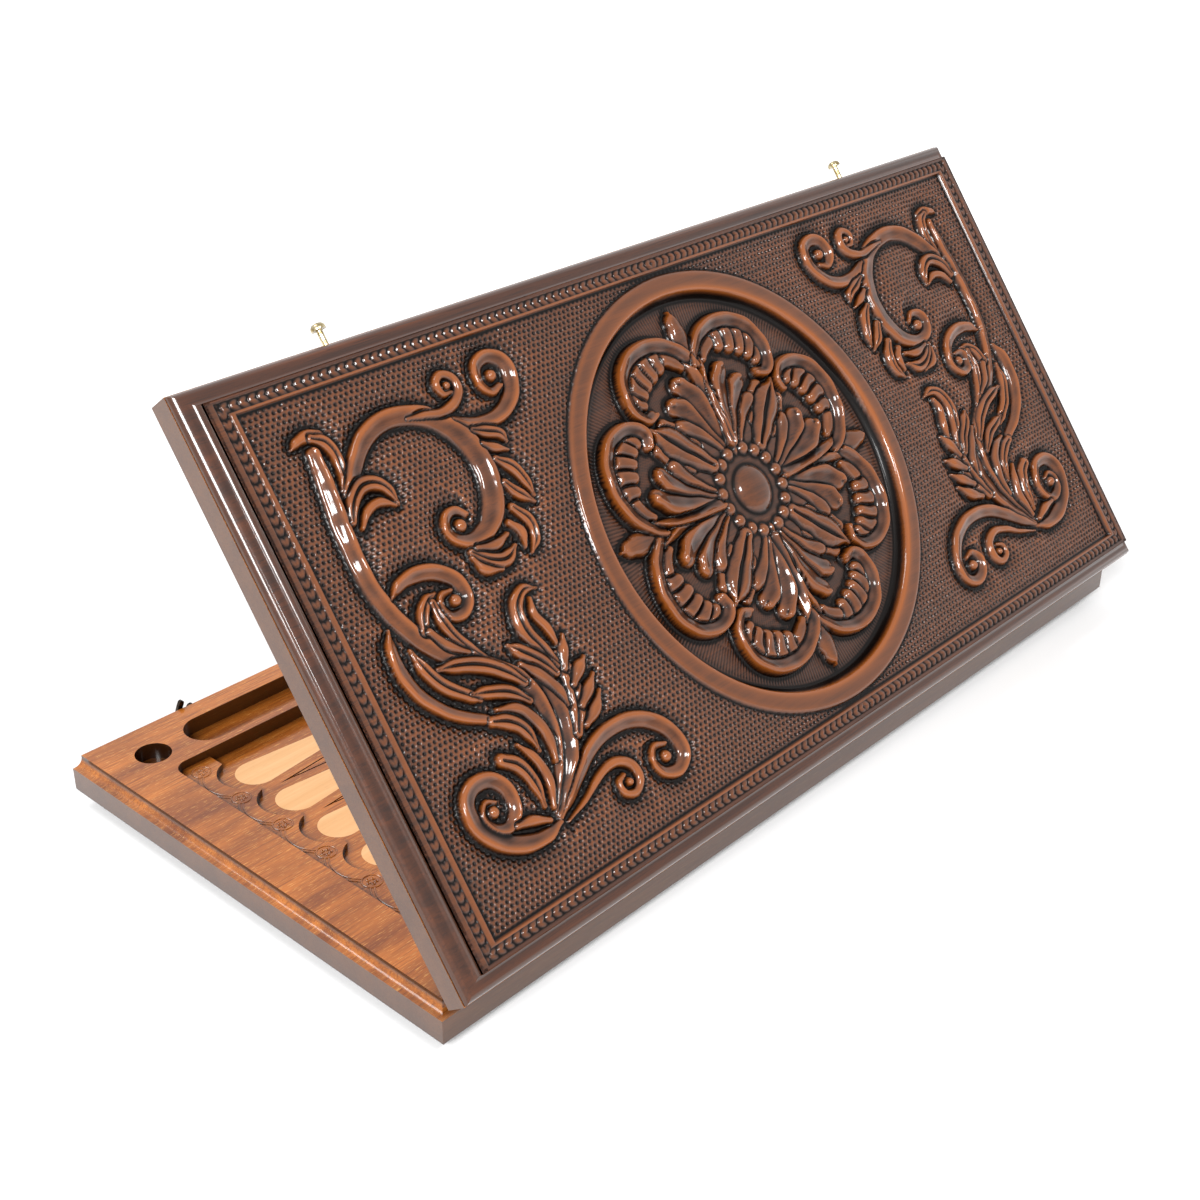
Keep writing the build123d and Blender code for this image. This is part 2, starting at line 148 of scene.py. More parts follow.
@dataclass(frozen=True)
class StainedBeech:
    """Flat-sawn beech, stained and under clear lacquer.

    The eye sees long soft streaks along the grain, short dark flecks, painted shade in the hollows, high
    spots lightened by wear and painted highlight, and sharp reflections in the lacquer.
    """

    name: str
    light: str
    dark: str
    # colour of the painted shade in hollows and recesses
    hollow: str
    # colour of wear and painted highlight on carved proud places
    wear_and_highlight: str
    fleck: str = "2a1206"
    edge: str = "3c2210"
    carved: bool = False
    face: tuple[float, float, float] = (0.0, 0.0, 1.0)
    roughness: float = 0.38
    specular: float = 0.12
    # lacquer, with less of it where the carved hollows take painted shade, so that these show no reflection
    coat: float = 0.95
    coat_in_hollow: float = 0.14
    coat_roughness: float = 0.07
    # streaks of the year rings, and the noise values that count as dark and as light
    streak_width: float = 5 * MM
    streak_length: float = 190 * MM
    streak_detail: float = 4.0
    soft_low: float = 0.26
    soft_high: float = 0.74
    # short flecks of the wood's rays
    fleck_width: float = 0.45 * MM
    fleck_length: float = 5.5 * MM
    fleck_detail: float = 1.0
    fleck_low: float = 0.6
    fleck_high: float = 0.72
    fleck_strength: float = 0.5
    # pores: wider than a fleck and shorter than a streak, by these factors
    pore_spread: float = 2.2
    pores_per_streak: float = 5.0
    pore_detail: float = 2.0
    pore_low: float = 0.5
    pore_high: float = 0.68
    pore_strength: float = 0.75
    grain_roughness: float = 0.6
    grain_depth: float = 0.05 * MM
    grain_strength: float = 0.6
    # painted shade in recesses, by how much of the sky they see
    recess_reach: float = 22 * MM
    recess_samples: int = 4
    recess_low: float = 0.42
    recess_high: float = 0.97
    recess_shade: float = 0.92
    # dark outer edges, by how far a surface turns away from the face
    edge_low: float = 0.15
    edge_high: float = 0.6
    edge_stain: float = 0.9

    def grain(self, tree: bpy.types.NodeTree, width: float, length: float, detail: float) -> Socket:
        """Draws noise out along the grain.

        Args:
            tree: The node tree to add to.
            width: Size of a mark across the grain, in metres.
            length: Size of a mark along the grain, in metres.
            detail: Octaves of the noise.

        Returns:
            The noise value, about 0 to 1.
        """
        where = node(tree, "ShaderNodeTexCoord").outputs["Object"]
        scale = (1 / length, 1 / width, 1 / width)
        spread = node(tree, "ShaderNodeMapping", {"Vector": where, "Scale": scale}).outputs[0]
        links = {"Vector": spread, "Scale": 1.0, "Detail": detail, "Roughness": self.grain_roughness}
        return node(tree, "ShaderNodeTexNoise", links).outputs["Fac"]

    def edge_share(self, tree: bpy.types.NodeTree) -> Socket:
        """Finds the sides of the wood, which are stained darker than its face.

        Args:
            tree: The node tree to add to.

        Returns:
            The share of the edge colour.
        """
        facing = node(tree, "ShaderNodeTexCoord").outputs["Normal"]
        across = node(tree, "ShaderNodeVectorMath", {0: facing, 1: self.face}, operation="DOT_PRODUCT")
        turned = node(tree, "ShaderNodeMath", {0: across.outputs["Value"]}, operation="ABSOLUTE")
        return node(tree, "ShaderNodeMapRange", {
            "Value": turned.outputs[0], "From Min": self.edge_low, "From Max": self.edge_high,
            "To Min": self.edge_stain, "To Max": 0.0,
        }).outputs[0]

    def layers(self, tree: bpy.types.NodeTree, pores: Socket) -> list[tuple[Socket, Colour]]:
        """Works out what lies over the streaks, from the lowest layer to the highest.

        Args:
            tree: The node tree to add to.
            pores: The noise value of the pores.

        Returns:
            Pairs of the share that shows and its colour.
        """
        flecks = self.grain(tree, self.fleck_width, self.fleck_length, self.fleck_detail)
        marks = node(tree, "ShaderNodeMapRange", {
            "Value": flecks, "From Min": self.fleck_low, "From Max": self.fleck_high,
            "To Min": 0.0, "To Max": self.fleck_strength,
        }).outputs[0]
        lines = node(tree, "ShaderNodeMapRange", {
            "Value": pores, "From Min": self.pore_low, "From Max": self.pore_high,
            "To Min": 0.0, "To Max": self.pore_strength,
        }).outputs[0]
        # painted shade: the less of the sky a recess sees, the more it takes the hollow colour
        recess = node(tree, "ShaderNodeAmbientOcclusion", {"Distance": self.recess_reach},
                      samples=self.recess_samples)
        depth = node(tree, "ShaderNodeMapRange", {
            "Value": recess.outputs["AO"], "From Min": self.recess_low, "From Max": self.recess_high,
            "To Min": self.recess_shade, "To Max": 0.0,
        }).outputs[0]
        wood = [(marks, linear(self.fleck)), (lines, linear(self.dark))]
        painted_shading = (depth, linear(self.hollow))
        if not self.carved:
            return [*wood, (self.edge_share(tree), linear(self.edge)), painted_shading]
        # painted shade in the carved hollows, and wear with painted highlight on the proud places
        cavity = node(tree, "ShaderNodeAttribute", attribute_name="hollow").outputs["Fac"]
        proud = node(tree, "ShaderNodeAttribute", attribute_name="proud").outputs["Fac"]
        return [*wood, painted_shading, (proud, linear(self.wear_and_highlight)), (cavity, linear(self.hollow))]

    def build(self) -> bpy.types.Material:
        """Builds the material.

        Returns:
            The finished material.
        """
        material = bpy.data.materials.new(self.name)
        material.use_nodes = True
        tree = material.node_tree
        shader = tree.nodes["Principled BSDF"]
        streaks = self.grain(tree, self.streak_width, self.streak_length, self.streak_detail)
        stops = ((self.soft_low, linear(self.dark)), (self.soft_high, linear(self.light)))
        colour = node(tree, "ShaderNodeValToRGB", {"Fac": streaks}, stops).outputs["Color"]
        pore_length = self.streak_length / self.pores_per_streak
        pores = self.grain(tree, self.fleck_width * self.pore_spread, pore_length, self.pore_detail)
        for share, layer in self.layers(tree, pores):
            links = {0: share, 6: colour, 7: layer}
            colour = node(tree, "ShaderNodeMix", links, data_type="RGBA", blend_type="MIX").outputs[2]
        tree.links.new(colour, shader.inputs["Base Color"])
        shader.inputs["Roughness"].default_value = self.roughness
        shader.inputs["Specular IOR Level"].default_value = self.specular
        shader.inputs["Coat Weight"].default_value = self.coat
        shader.inputs["Coat Roughness"].default_value = self.coat_roughness
        # less lacquer where the hollows take painted shade, so they show no reflection
        if self.carved:
            cavity = node(tree, "ShaderNodeAttribute", attribute_name="hollow").outputs["Fac"]
            links = {"Value": cavity, "To Min": self.coat, "To Max": self.coat_in_hollow}
            shine = node(tree, "ShaderNodeMapRange", links)
            tree.links.new(shine.outputs[0], shader.inputs["Coat Weight"])
        links = {"Height": pores, "Distance": self.grain_depth, "Strength": self.grain_strength}
        bump = node(tree, "ShaderNodeBump", links)
        tree.links.new(bump.outputs[0], shader.inputs["Normal"])
        return material


@dataclass(frozen=True)
class CastMetal:
    """Small cast or turned fittings: plain metal with tarnish in patches that dulls the shine."""

    name: str
    clean: str
    tarnish: str
    roughness: float
    patch: float = 2.5 * MM
    patch_detail: float = 3.0
    # noise values at which the surface is fully tarnished and fully clean
    tarnished: float = 0.38
    bright: float = 0.62
    dull_low: float = 0.35
    dull_high: float = 0.7
    dulling: float = 0.15

    def build(self) -> bpy.types.Material:
        """Builds the material.

        Returns:
            The finished material.
        """
        material = bpy.data.materials.new(self.name)
        material.use_nodes = True
        tree = material.node_tree
        shader = tree.nodes["Principled BSDF"]
        where = node(tree, "ShaderNodeTexCoord").outputs["Object"]
        links = {"Vector": where, "Scale": 1 / self.patch, "Detail": self.patch_detail}
        patches = node(tree, "ShaderNodeTexNoise", links).outputs["Fac"]
        stops = ((self.tarnished, linear(self.tarnish)), (self.bright, linear(self.clean)))
        colour = node(tree, "ShaderNodeValToRGB", {"Fac": patches}, stops).outputs["Color"]
        tree.links.new(colour, shader.inputs["Base Color"])
        rough = node(tree, "ShaderNodeMapRange", {
            "Value": patches, "From Min": self.dull_low, "From Max": self.dull_high,
            "To Min": self.roughness + self.dulling, "To Max": self.roughness,
        })
        tree.links.new(rough.outputs[0], shader.inputs["Roughness"])
        shader.inputs["Metallic"].default_value = 1.0
        return material


def smooth_line(points: Array, widths: Array, steps: int = 7) -> tuple[Array, Array]:
    """Rounds a drawn centre line into a flowing one.

    Args:
        points: The drawn points, one row each.
        widths: The width at each point.
        steps: New points for each drawn span.

    Returns:
        The finer points and their widths.
    """
    padded = np.vstack([2 * points[0] - points[1], points, 2 * points[-1] - points[-2]])
    pieces, sizes = [], []
    for index in range(len(points) - 1):
        p0, p1, p2, p3 = padded[index : index + 4]
        t = np.linspace(0, 1, steps, endpoint=False)[:, None]
        pieces.append(0.5 * (2 * p1 + (p2 - p0) * t + (2 * p0 - 5 * p1 + 4 * p2 - p3) * t**2
                             + (3 * p1 - p0 - 3 * p2 + p3) * t**3))
        ease = (1 - np.cos(pi * t[:, 0])) / 2
        sizes.append(widths[index] * (1 - ease) + widths[index + 1] * ease)
    pieces.append(points[-1:])
    sizes.append(widths[-1:])
    return np.vstack(pieces), np.concatenate(sizes)


class Cut(Enum):
    """How a carver shapes the back of a stroke."""

    ROUND = "one full ridge"
    VEINED = "a leaf with a groove down its middle"
    FLUTED = "a ribbon with a hollow beside a raised outer edge"


@dataclass
class Relief:
    """A carved surface as heights over a fine square grid, in millimetres.

    The level 0 is the panel's face; everything carved lies below it.
    """

    columns: Array
    rows: Array
    x: Array = field(init=False)
    y: Array = field(init=False)
    height: Array = field(init=False)
    gap: Array = field(init=False)
    # how far a stroke looks round itself, from which width it is full height, its thinnest place
    moat: float = 16.0
    full_width: float = 7.0
    least_width: float = 0.4
    thin_share: float = 0.62
    # the groove cut beside a stroke: its width, its floor as a share of the rise, and its curve
    groove: float = 1.3
    groove_floor: float = 0.25
    groove_power: float = 0.7
    # marks of the gouge along a stroke
    facet_share: float = 0.045
    facet_length: float = 15.0
    # backs of the strokes, with places across counted from the middle (0) to the side (1)
    round_power: float = 2.2
    vein_depth: float = 0.55
    vein_width: float = 0.2
    ribbon_power: float = 5.0
    flute_floor: float = 0.56
    flute_start: float = -0.85
    flute_rim: float = 0.42
    flute_power: float = 1.9
    button_power: float = 2.4
    # a stroke stays this far below the face, and this share of its rise below what it crosses
    skin: float = 0.05
    crossing: float = 0.6

    def __post_init__(self) -> None:
        """Lays out the grid at the panel's face."""
        self.x, self.y = np.meshgrid(self.columns, self.rows, indexing="ij")
        self.height = np.zeros_like(self.x)
        self.gap = np.full_like(self.x, FAR)

    def sink(self, level: float) -> None:
        """Sets the whole grid to one level before strokes are laid on it.

        Args:
            level: The level.
        """
        self.height[:] = level

    def window(self, low: Array, high: Array) -> tuple[slice, slice]:
        """The part of the grid inside a box.

        Args:
            low: Lowest x and y.
            high: Highest x and y.

        Returns:
            Slices of columns and rows.
        """
        first = np.searchsorted(self.columns, [low[0], high[0]])
        second = np.searchsorted(self.rows, [low[1], high[1]])
        return slice(first[0], first[1]), slice(second[0], second[1])

    def across(self, share: Array, side: Array, cut: Cut) -> Array:
        """Gives the height across a stroke.

        Args:
            share: Distance from the centre line as a share of the half width.
            side: 1 on the outer side of the bend and -1 on the inner side.
            cut: Shape of the back.

        Returns:
            Height as a share of the ridge.
        """
        u = np.clip(share, 0, 1)
        if cut is Cut.FLUTED:
            rising = np.clip((u * side - self.flute_start) / (self.flute_rim - self.flute_start), 0, 1)
            hollow = self.flute_floor + (1 - self.flute_floor) * rising**self.flute_power
            flank = np.where(u * side > self.flute_rim, 1.0, hollow)
            return np.clip(1 - u**self.ribbon_power, 0, 1) ** 0.5 * flank
        back = np.clip(1 - u**self.round_power, 0, 1) ** 0.5
        if cut is Cut.VEINED:
            return back * (1 - self.vein_depth * np.exp(-((u / self.vein_width) ** 2)))
        return back

    def stroke(self, points: Array, widths: Array, foot: float, rise: float, cut: Cut) -> None:
        """Carves one stroke, kept where it stands above what is there.

        Args:
            points: Centre line, one row each.
            widths: Full width at each point.
            foot: Level that the stroke rises from.
            rise: Height of its ridge over the foot.
            cut: Shape of its back.
        """
        line, size = smooth_line(np.asarray(points, float), np.asarray(widths, float))
        reach = size.max() / 2 + self.moat
        area = self.window(line.min(0) - reach, line.max(0) + reach)
        x, y = self.x[area], self.y[area]
        if x.size == 0:
            return
        best = np.full(x.shape, np.inf)
        half, side, along = np.ones(x.shape), np.zeros(x.shape), np.zeros(x.shape)
        run = 0.0
        for a, b, wa, wb in zip(line[:-1], line[1:], size[:-1], size[1:]):
            span = b - a
            square = max(float(span @ span), 1e-9)
            t = np.clip(((x - a[0]) * span[0] + (y - a[1]) * span[1]) / square, 0, 1)
            dx, dy = x - a[0] - t * span[0], y - a[1] - t * span[1]
            width = np.maximum(wa * (1 - t) + wb * t, self.least_width) / 2
            share = np.hypot(dx, dy) / width
            near = share < best
            best = np.where(near, share, best)
            half = np.where(near, width, half)
            side = np.where(near, np.sign(dx * span[1] - dy * span[0]), side)
            along = np.where(near, run + t * square**0.5, along)
            run += square**0.5
        turning = np.diff(np.unwrap(np.arctan2(*np.diff(line, axis=0).T[::-1]))).sum()
        back = self.across(best, side * (1 if turning > 0 else -1), cut)
        facets = 1 - self.facet_share * (1 + np.sin(2 * pi * along / self.facet_length))
        fullness = self.thin_share + (1 - self.thin_share) * np.clip(half * 2 / self.full_width, 0, 1)
        top = np.minimum(foot + rise * back * facets * fullness, -self.skin)
        outside = (best - 1) * half
        wall = np.clip(outside / self.groove, 0, 1) ** self.groove_power
        groove = foot + rise * (self.groove_floor + (1 - self.groove_floor) * wall)
        old = self.height[area]
        old = np.where(outside < self.groove, np.minimum(old, groove), old)
        self.height[area] = np.where(best < 1, np.maximum(top, old - self.crossing * rise), old)
        self.gap[area] = np.minimum(self.gap[area], outside)

    def dome(self, centre: tuple[float, float], radius: float, foot: float, rise: float) -> None:
        """Carves a round button.

        Args:
            centre: Its middle.
            radius: Its radius.
            foot: Level that it rises from.
            rise: Its height.
        """
        middle = np.asarray(centre, float)
        area = self.window(middle - radius - self.moat, middle + radius + self.moat)
        share = np.hypot(self.x[area] - middle[0], self.y[area] - middle[1]) / radius
        top = foot + rise * np.sqrt(np.clip(1 - share**self.button_power, 0, 1))
        self.height[area] = np.where(share < 1, np.maximum(self.height[area], top), self.height[area])
        self.gap[area] = np.minimum(self.gap[area], (share - 1) * radius)


def blurred(values: Array, reach: int) -> Array:
    """Averages a grid over a square, twice, for a soft blur.

    Args:
        values: The grid.
        reach: Half the square's side, in cells.

    Returns:
        The blurred grid.
    """
    for _ in range(2):
        for axis in (0, 1):
            pad = [(0, 0), (0, 0)]
            pad[axis] = (reach + 1, reach)
            total = np.cumsum(np.pad(values, pad, mode="edge"), axis=axis)
            size = 2 * reach + 1
            upper = np.take(total, range(size, total.shape[axis]), axis=axis)
            lower = np.take(total, range(0, total.shape[axis] - size), axis=axis)
            values = (upper - lower) / size
    return values


# The scroll of the left field, drawn as centre lines on a pattern sheet squared at one step,
# counted from the sheet's top left corner, with the full width at each point.
# R, V and F stand for the backs of the strokes: round, veined and fluted.
SHEET_STEP = 0.1475
SHEET_LEFT = -295.0
SHEET_TOP = 290.0
R, V, F = Cut.ROUND, Cut.VEINED, Cut.FLUTED
SCROLL: tuple[tuple[Cut, Stroke], ...] = (
    # long stem, from the head leaf at the top down to the root at the bottom
    (F, (((372, 345), (363, 450), (350, 560), (344, 660), (346, 760), (366, 850), (400, 930), (446, 1000),
          (505, 1058), (565, 1095), (625, 1140), (680, 1190), (712, 1250), (724, 1320), (718, 1400),
          (692, 1480), (650, 1555), (600, 1620)), (46, 60, 66, 62, 60, 60, 60, 62, 62, 58, 56, 56, 54, 50,
          46, 40, 34, 20))),
    (R, (((308, 312), (338, 296), (380, 290), (415, 300)), (8, 34, 46, 44))),
    (V, (((385, 300), (425, 325), (440, 380), (428, 450), (400, 530)), (34, 50, 46, 38, 16))),
    # big C with its volute
    (F, (((405, 545), (440, 480), (500, 405), (570, 350), (650, 325), (730, 330), (810, 358), (872, 410),
          (915, 480), (932, 560), (920, 640), (885, 708), (830, 752), (765, 765), (712, 745), (690, 705),
          (708, 668), (748, 658), (780, 682)), (26, 56, 62, 66, 66, 68, 72, 78, 82, 84, 84, 80, 66, 52, 46,
          42, 38, 32, 24))),
    (R, (((735, 345), (800, 352), (870, 365), (930, 350), (968, 315), (965, 272), (930, 252), (898, 274),
          (908, 312), (940, 314)), (14, 32, 38, 42, 44, 40, 36, 32, 26, 18))),
    (F, (((905, 392), (960, 425), (1035, 440), (1108, 425), (1165, 382), (1194, 320), (1182, 268),
          (1130, 244), (1078, 264), (1062, 318), (1092, 356), (1135, 346)), (22, 40, 50, 56, 60, 60, 56, 50,
          48, 42, 34, 24))),
    # leaves in the corner between stem and C
    (V, (((392, 572), (420, 520), (470, 484), (520, 488), (556, 520), (572, 575)), (30, 52, 58, 54, 44,
          10))),
    (R, (((415, 600), (455, 560), (510, 548), (560, 575)), (18, 34, 36, 12))),
    # leaves on the outside of the C
    (V, (((950, 448), (1000, 470), (1045, 490), (1062, 522)), (26, 50, 44, 10))),
    (R, (((962, 500), (1000, 525), (1050, 548)), (24, 40, 12))),
    (V, (((985, 560), (1030, 600), (1055, 655), (1066, 714)), (30, 52, 46, 10))),
    (V, (((975, 640), (1010, 690), (1058, 732)), (34, 46, 12))),
    (V, (((960, 720), (996, 775), (992, 835), (955, 876)), (34, 50, 44, 10))),
    (R, (((920, 760), (950, 800), (940, 850)), (28, 40, 14))),
    (V, (((735, 795), (790, 842), (850, 858), (905, 832)), (26, 58, 56, 16))),
    (R, (((760, 790), (830, 806), (895, 790)), (24, 44, 20))),
    (R, (((728, 812), (755, 862), (820, 886)), (16, 40, 12))),
    # middle volute and its leaves
    (F, (((392, 828), (445, 796), (515, 788), (582, 806), (634, 850), (646, 910), (612, 950), (566, 948),
          (545, 912), (562, 880), (600, 876)), (12, 42, 54, 56, 54, 50, 44, 38, 34, 28, 20))),
    (V, (((450, 950), (470, 905), (505, 872), (548, 862)), (46, 48, 38, 10))),
    (V, (((520, 885), (524, 960), (556, 1035), (612, 1105)), (30, 48, 46, 22))),
    (R, (((462, 960), (500, 1020), (560, 1066)), (34, 40, 22))),
    # leaves on the left of the stem
    (F, (((338, 905), (314, 965), (312, 1040), (332, 1110), (374, 1172), (432, 1224), (500, 1262),
          (548, 1284)), (12, 46, 54, 52, 48, 44, 38, 14))),
    (V, (((374, 985), (390, 1060), (432, 1130), (492, 1182), (525, 1212)), (14, 52, 54, 46, 14))),
    (V, (((432, 1072), (500, 1086), (572, 1112), (642, 1160), (700, 1225)), (18, 54, 60, 56, 34))),
    (V, (((500, 1182), (560, 1200), (630, 1228), (688, 1282)), (14, 48, 54, 28))),
    (V, (((526, 1284), (578, 1306), (622, 1352), (640, 1432)), (40, 58, 52, 12))),
    (R, (((560, 1258), (630, 1284), (672, 1340), (690, 1410), (676, 1480)), (16, 44, 48, 44, 24))),
    (V, (((496, 1400), (540, 1434), (566, 1500), (566, 1585)), (50, 58, 52, 16))),
    (R, (((572, 1380), (606, 1440), (620, 1515), (594, 1600)), (14, 40, 44, 22))),
    # bottom left volute
    (F, (((596, 1648), (520, 1664), (432, 1648), (356, 1600), (312, 1532), (314, 1462), (362, 1424),
          (428, 1432), (466, 1482), (462, 1545), (416, 1582), (368, 1564), (350, 1518), (374, 1486),
          (408, 1498)), (18, 48, 62, 66, 66, 62, 58, 54, 52, 46, 40, 34, 28, 22, 16))),
    (R, (((440, 1592), (500, 1602), (560, 1628)), (26, 40, 24))),
    # tall leaf in the middle
    (F, (((600, 1632), (680, 1560), (742, 1480), (776, 1400), (786, 1320), (766, 1240), (730, 1180)), (18,
          46, 62, 70, 66, 54, 20))),
    (V, (((800, 1440), (846, 1360), (866, 1280), (862, 1200)), (44, 78, 74, 44))),
    (V, (((852, 1225), (815, 1150), (788, 1075), (800, 1005), (850, 968), (908, 980)), (30, 58, 64, 56, 42,
          8))),
    (R, (((882, 1180), (872, 1110), (850, 1050), (862, 1000)), (16, 38, 36, 16))),
    (V, (((706, 1100), (742, 1140), (792, 1190), (826, 1245)), (14, 58, 60, 34))),
    (R, (((716, 1170), (762, 1222), (804, 1292), (812, 1350)), (24, 46, 46, 20))),
    (R, (((864, 1246), (888, 1196), (918, 1148)), (30, 48, 14))),
    (R, (((868, 1302), (912, 1268), (958, 1240)), (34, 52, 14))),
    (R, (((862, 1372), (908, 1340), (962, 1300)), (34, 50, 14))),
    (R, (((846, 1432), (900, 1404), (956, 1356)), (30, 52, 14))),
    # lower sprays to the right
    (F, (((606, 1642), (680, 1596), (760, 1540), (842, 1496), (930, 1480), (1020, 1490), (1100, 1532),
          (1152, 1600), (1156, 1668), (1108, 1706), (1050, 1690), (1026, 1642), (1054, 1604), (1100, 1612)),
          (14, 36, 48, 54, 56, 58, 60, 58, 54, 48, 42, 34, 28, 20))),
    (R, (((622, 1662), (720, 1630), (800, 1592), (876, 1578), (934, 1608), (944, 1660), (908, 1694),
          (866, 1680), (862, 1642), (892, 1628)), (8, 22, 32, 38, 42, 40, 36, 30, 24, 18))),
)
SCROLL_EYES = (((744, 708), 24), ((932, 290), 16), ((1118, 308), 22), ((602, 908), 22), ((386, 1520), 22),
               ((1082, 1648), 22), ((900, 1656), 16))

# Medallion strokes of one arm: the back, then distance from the middle in mm and angle from the arm in
# degrees with the width at each point, then the rise.
ARM: tuple[tuple[Cut, Stroke, float], ...] = (
    (R, (((40, 36), (52, 36), (62, 38)), (8.0, 10.0, 8.0)), 4.4),
    (R, (((28, 15), (38, 21), (47, 27), (52, 32)), (6.0, 9.0, 11.0, 9.0)), 4.8),
    (F, (((28, 9), (42, 14.5), (54, 20), (60.5, 25)), (6.0, 10.0, 12.5, 10.5)), 5.8),
    (F, (((28, 3), (42, 7), (56, 10), (66, 14.5)), (6.0, 10.5, 13.0, 10.5)), 6.6),
    (V, (((28, 45), (40, 45), (54, 45), (70, 45)), (10.0, 15.0, 19.0, 2.0)), 6.0),
    (F, (((27, 0), (46, 0.6), (60, 2), (74, 4)), (7.0, 6.0, 6.0, 4.0)), 7.0),
    (R, (((73, 7), (78, 9.5), (82, 13.5), (83, 17)), (5.0, 8.0, 8.0, 6.0)), 4.6),
    (R, (((90, 14.5), (85, 17), (80, 17.5)), (8.0, 9.4, 8.0)), 5.0),
    (R, (((92, 20.5), (86, 22.6), (80, 22.8)), (8.0, 10.0, 8.6)), 5.4),
    (R, (((92, 26.5), (86, 28), (80, 28)), (8.0, 10.0, 8.6)), 5.4),
    (R, (((89, 32), (84, 33), (79, 32.6)), (8.0, 9.4, 8.0)), 5.2),
    (R, (((84, 37.5), (80, 37.6), (76.5, 36.5)), (7.0, 8.0, 6.4)), 5.0),
    (F, (((71, 0), (77, 2.4), (84, 7), (89.5, 12), (93.5, 18), (95.5, 25), (94, 32), (88, 38), (80, 41.5),
          (73, 41.5), (70, 37.5)), (5.5, 7.4, 8.4, 9.0, 9.6, 9.6, 9.0, 8.6, 8.4, 7.4, 6.4)), 6.8),
)
BUD: Stroke = (((80, 0), (88, 0), (95, 0), (102, 0)), (8.0, 13.0, 10.0, 1.5))


@dataclass
class CarvedPanel:
    """The lid's outer panel: rope border, punched ground, two scrolls and the medallion, inside an ogee.

    Sizes are in mm. Powers shape a slope, and shares count from 0 to 1.
    """

    step: float = 0.51
    inset: float = 9.5
    softening: float = 0.4
    # rope border and the fillet inside it
    rope_side: float = 16.4
    rope_long: float = 14.0
    rope_width: float = 5.6
    rope_pitch: float = 4.9
    rope_slant: float = 0.42
    rope_floor: float = 1.5
    rope_rise: float = 1.45
    rope_valley: float = 0.35
    rope_skin: float = 0.05
    strand_fill: float = 1.12
    strand_power: float = 0.6
    spine_depth: float = 0.35
    spine_width: float = 0.16
    fillet_side: float = 21.8
    fillet_long: float = 17.8
    fillet_slope: float = 0.9
    # ground, the moat beside the scrolls, and the quirk inside the fillet
    ground: float = 1.5
    moat_depth: float = 3.0
    moat_reach: float = 6.0
    moat_power: float = 1.5
    quirk_depth: float = 0.9
    quirk_place: float = 1.0
    quirk_width: float = 0.7
    # punch marks, in rows a share of the pitch apart
    punch_pitch: float = 3.1
    punch_row: float = 0.87
    punch_depth: float = 1.35
    punch_radius: float = 1.0
    punch_power: float = 1.3
    punch_wander: float = 0.22
    punch_margin: float = 1.6
    punch_clear: float = 0.4
    # scrolls
    scroll_foot: float = 4.4
    scroll_proud: float = 0.1
    eye_drop: float = 0.2
    # ring round the medallion, and the bowl inside it
    ring_radius: float = 121.0
    ring_width: float = 11.4
    ring_round: float = 2.6
    ring_drop: float = 2.0
    ring_moat: float = 2.1
    ring_moat_width: float = 2.6
    flange_margin: float = 1.0
    flange_slope: float = 1.5
    bowl: float = 7.5
    bowl_wall: float = 3.4
    # scoring of the bowl's floor: small waves inside, rays outside
    score_depth: float = 2.6
    score_margin: float = 4.0
    score_fade: float = 2.0
    wave_share: float = 0.16
    wave_pitch: float = 2.2
    wave_turns: float = 150.0
    ray_share: float = 0.2
    ray_turns: float = 168.0
    ray_start: float = 84.0
    ray_fade: float = 8.0
    ray_edge: float = 92.0
    # medallion
    arms: int = 4
    leaf_moat: float = 3.0
    leaf_full_width: float = 4.0
    leaf_groove: float = 0.7
    mound_radius: float = 50.0
    mound_rise: float = 2.6
    mound_slope: float = 6.0
    bud_rise: float = 4.8
    pearl_ring: float = 22.6
    pearls: int = 17
    pearl_radius: float = 4.2
    pearl_rise: float = 5.2
    collar_width: float = 3.2
    collar_rise: float = 3.4
    boss_radius: float = 14.4
    boss_rise: float = 6.6
    # painted shade in the hollows, and wear with painted highlight on proud places: blur in cells, then the
    # depth that counts in full and its share
    near_cells: int = 3
    wide_cells: int = 12
    near_hollow: tuple[float, float] = (0.24, 0.95)
    wide_hollow: tuple[float, float] = (1.8, 0.6)
    near_proud: tuple[float, float] = (0.7, 0.5)
    wide_proud: tuple[float, float] = (2.4, 0.5)
    bowl_shade: float = 0.35
    names: tuple[str, ...] = ("left_scroll_outer", "left_scroll_inner", "medallion_left", "medallion_right",
                              "right_scroll_inner", "right_scroll_outer")

    def __post_init__(self) -> None:
        """Lays the grid over the left half of the panel; the right half mirrors it."""
        half_width = SIZES.width / MM / 2
        depth = SIZES.depth / MM
        span = half_width - self.inset
        self.tiles_a_side = len(self.names) // 2
        count = self.tiles_a_side * round(span / self.step / self.tiles_a_side)
        columns = np.linspace(-span, 0, count + 1)
        rows = np.linspace(self.inset, depth - self.inset, round((depth - 2 * self.inset) / self.step) + 1)
        self.relief = Relief(columns, rows)
        self.middle = depth / 2
        self.from_side = self.relief.x + half_width
        self.from_long = np.minimum(self.relief.y, depth - self.relief.y)

    def carve_scroll(self) -> None:
        """Carves the scroll's strokes and the eyes of its volutes."""
        self.relief.sink(-self.scroll_foot)
        rise = self.scroll_foot + self.scroll_proud
        for cut, (points, widths) in SCROLL:
            sheet = np.asarray(points, float) * SHEET_STEP
            line = np.column_stack([SHEET_LEFT + sheet[:, 0], SHEET_TOP - sheet[:, 1]])
            self.relief.stroke(line, np.asarray(widths) * SHEET_STEP, -self.scroll_foot, rise, cut)
        for (x, y), radius in SCROLL_EYES:
            centre = (SHEET_LEFT + x * SHEET_STEP, SHEET_TOP - y * SHEET_STEP)
            self.relief.dome(centre, radius * SHEET_STEP, -self.scroll_foot, self.scroll_foot - self.eye_drop)

